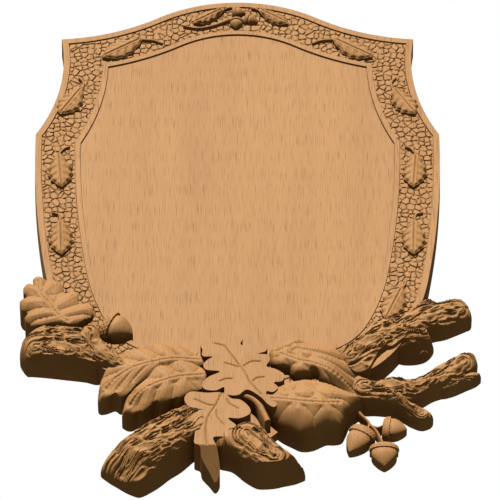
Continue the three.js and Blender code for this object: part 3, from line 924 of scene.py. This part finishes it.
ACORN_STEMS = [
    [(113, -238), (119, -248), (127, -260), (125, -267)],
    [(127, -260), (134, -270), (140, -286)],
    [(129, -263), (135, -265), (141, -262)],
]
ACORN_STEM_WIDTH = 2.4
ACORN_STEM_HEIGHT = 14.0
STALK = [(2, -238), (14, -243.5), (20.7, -251), (25.5, -262.5), (29, -272)]
STALK_WIDTH = 6.0
STALK_HEIGHT = 33.0
SCALE_ROWS = 4
SCALES_AROUND = 20
SCALE_SIZE = 0.085


def acorn(name, place):
    radius, stretch, depth = place["radius"], place.get("stretch", 1.0), place.get("depth", 1.0)
    angle = math.radians(place["direction"])
    along = np.array([math.cos(angle), math.sin(angle)])
    across = np.array([-along[1], along[0]])
    profile = spline(ACORN_PROFILE, per_knot=10)
    profile = even_steps(np.clip(profile, 0, None), ACORN_PROFILE[-1][1] / ACORN_RINGS * 1.4)
    corners, faces = [], []
    for r, t in profile[1:-1]:
        for k in range(ACORN_SIDES):
            turn = 2 * math.pi * k / ACORN_SIDES
            swell = 0.0
            if 0.03 < t < CUP_TO and r > 0.5:
                row = t / CUP_TO * SCALE_ROWS
                offset = math.pi * (int(row) % 2)
                swell = SCALE_SIZE * abs(math.sin(math.pi * row)) * (
                    0.6 + 0.4 * math.cos(SCALES_AROUND * turn + offset))
            out = (r + swell) * radius
            plan = np.array(place["cup"]) + along * t * radius * stretch + across * out * math.cos(turn)
            corners.append((*plan, place["height"] + depth * out * math.sin(turn)))
    rings = len(profile) - 2
    ends = [profile[0][1], profile[-1][1]]
    for t in ends:
        corners.append((*(np.array(place["cup"]) + along * t * radius * stretch), place["height"]))
    low, high = rings * ACORN_SIDES, rings * ACORN_SIDES + 1
    for k in range(ACORN_SIDES):
        after = (k + 1) % ACORN_SIDES
        faces.append((low, after, k))
        last = (rings - 1) * ACORN_SIDES
        faces.append((high, last + k, last + after))
        for ring in range(rings - 1):
            a, b = ring * ACORN_SIDES, (ring + 1) * ACORN_SIDES
            faces.append((a + k, a + after, b + after, b + k))
    piece = make_piece(name, corners, faces, WOOD)
    edges = []
    for hand in (1, -1):
        edges.append([
            np.array(place["cup"]) + (along * t * stretch + across * r * hand) * radius
            for r, t in profile[1:-1]
        ])
    loop = np.vstack([edges[0], edges[1][::-1]])
    if signed_area(loop) < 0:
        loop = loop[::-1]

    relief(name + "_filling", loop, level(place["height"]), FILLING_CELL, WOOD)
    return piece


def make_acorns():
    acorn("side_acorn", SIDE_ACORN)
    for number, place in enumerate(HANGING_ACORNS, 1):
        acorn(f"hanging_acorn_{number}", place)
    for number, place in enumerate(CROWN_ACORNS, 1):
        acorn(f"crown_acorn_{number}", {**place, "radius": CROWN_ACORN_RADIUS, "height": CROWN_ACORN_HEIGHT})
    for number, line in enumerate(ACORN_STEMS, 1):
        stem(f"acorn_stem_{number}", line, ACORN_STEM_WIDTH, ACORN_STEM_WIDTH, ACORN_STEM_HEIGHT)
    stem("stalk", STALK, STALK_WIDTH, STALK_WIDTH, STALK_HEIGHT)


# Camera, light, world and floor

def make_camera():
    data = bpy.data.cameras.new("camera")
    data.sensor_width = CAMERA_SENSOR
    data.lens = CAMERA_LENS
    data.shift_x = CAMERA_SHIFT_X
    data.shift_y = CAMERA_SHIFT_Y
    camera = bpy.data.objects.new("camera", data)
    place = Vector((0, -math.cos(CAMERA_DROP), -math.sin(CAMERA_DROP))) * CAMERA_DISTANCE
    camera.location = place
    camera.rotation_euler = (-place).to_track_quat("-Z", "Y").to_euler()
    bpy.context.scene.collection.objects.link(camera)
    bpy.context.scene.camera = camera


SUN_HEIGHT = math.radians(38)
SUN_LEFT = math.radians(14)
SUN_SIZE = math.radians(6)
SUN_STRENGTH = 4.6
REAR_STRENGTH = 2.5
FILL_COLOUR = (1.0, 0.96, 0.71)
FILL_STRENGTH = 0.1056
FLOOR_DROP = 14.0
FLOOR_SIZE = 120.0


def make_sun(name, towards, strength, shines=True):
    data = bpy.data.lights.new(name, "SUN")
    data.energy = strength
    data.angle = SUN_SIZE
    data.use_shadow = False
    data.cycles.max_bounces = 0
    light = bpy.data.objects.new(name, data)
    light.rotation_euler = towards.to_track_quat("-Z", "Y").to_euler()
    light.visible_glossy = shines
    bpy.context.scene.collection.objects.link(light)


def make_lights():
    """A key light from above and the left, and a weaker matt one from behind, towards the camera."""
    key = Vector((
        math.sin(SUN_LEFT) * math.cos(SUN_HEIGHT),
        math.cos(SUN_LEFT) * math.cos(SUN_HEIGHT),
        -math.sin(SUN_HEIGHT),
    ))
    make_sun("key", key, SUN_STRENGTH)
    rear = Vector((0, -math.cos(CAMERA_DROP), -math.sin(CAMERA_DROP)))
    make_sun("rear", rear, REAR_STRENGTH, shines=False)


def make_world():
    """White behind the plaque, and a weak warm fill on it."""
    world = bpy.data.worlds.new("studio")
    bpy.context.scene.world = world
    world.use_nodes = True
    nodes, links = world.node_tree.nodes, world.node_tree.links
    nodes.clear()
    output = nodes.new("ShaderNodeOutputWorld")
    mix = nodes.new("ShaderNodeMixShader")
    path = nodes.new("ShaderNodeLightPath")
    fill = nodes.new("ShaderNodeBackground")
    fill.inputs["Color"].default_value = (*FILL_COLOUR, 1)
    fill.inputs["Strength"].default_value = FILL_STRENGTH
    behind = nodes.new("ShaderNodeBackground")
    behind.inputs["Color"].default_value = (1, 1, 1, 1)
    behind.inputs["Strength"].default_value = 1.0
    links.new(path.outputs["Is Camera Ray"], mix.inputs[0])
    links.new(fill.outputs[0], mix.inputs[1])
    links.new(behind.outputs[0], mix.inputs[2])
    links.new(mix.outputs[0], output.inputs["Surface"])


def make_floor():
    half = FLOOR_SIZE / 2
    mesh = bpy.data.meshes.new("floor")
    corners = [(-half, -half, 0), (half, -half, 0), (half, half, 0), (-half, half, 0)]
    mesh.from_pydata(corners, [], [(0, 1, 2, 3)])
    material = bpy.data.materials.new("floor")
    material.use_nodes = True
    shader = material.node_tree.nodes["Principled BSDF"]
    shader.inputs["Base Color"].default_value = (0.85, 0.85, 0.85, 1)
    shader.inputs["Roughness"].default_value = 0.9
    mesh.materials.append(material)
    floor = bpy.data.objects.new("floor", mesh)
    floor.location.z = -FLOOR_DROP
    floor.visible_diffuse = False
    floor.visible_glossy = False
    bpy.context.scene.collection.objects.link(floor)


bpy.context.scene.view_settings.view_transform = "Standard"
make_camera()
make_lights()
make_world()
make_floor()
make_board()
make_backing()
make_border()
for leaf_name, leaf_form in LARGE_LEAVES.items():
    large_leaf(leaf_name, leaf_form)
for bark_name, bark_form in BARK_PIECES.items():
    bark_piece(bark_name, bark_form)
flat_leaf("upper_flat_leaf", UPPER_FLAT_LEAF, UPPER_FLAT_VEINS)
flat_leaf("lower_flat_leaf", LOWER_FLAT_LEAF, LOWER_FLAT_VEINS)
make_acorns()
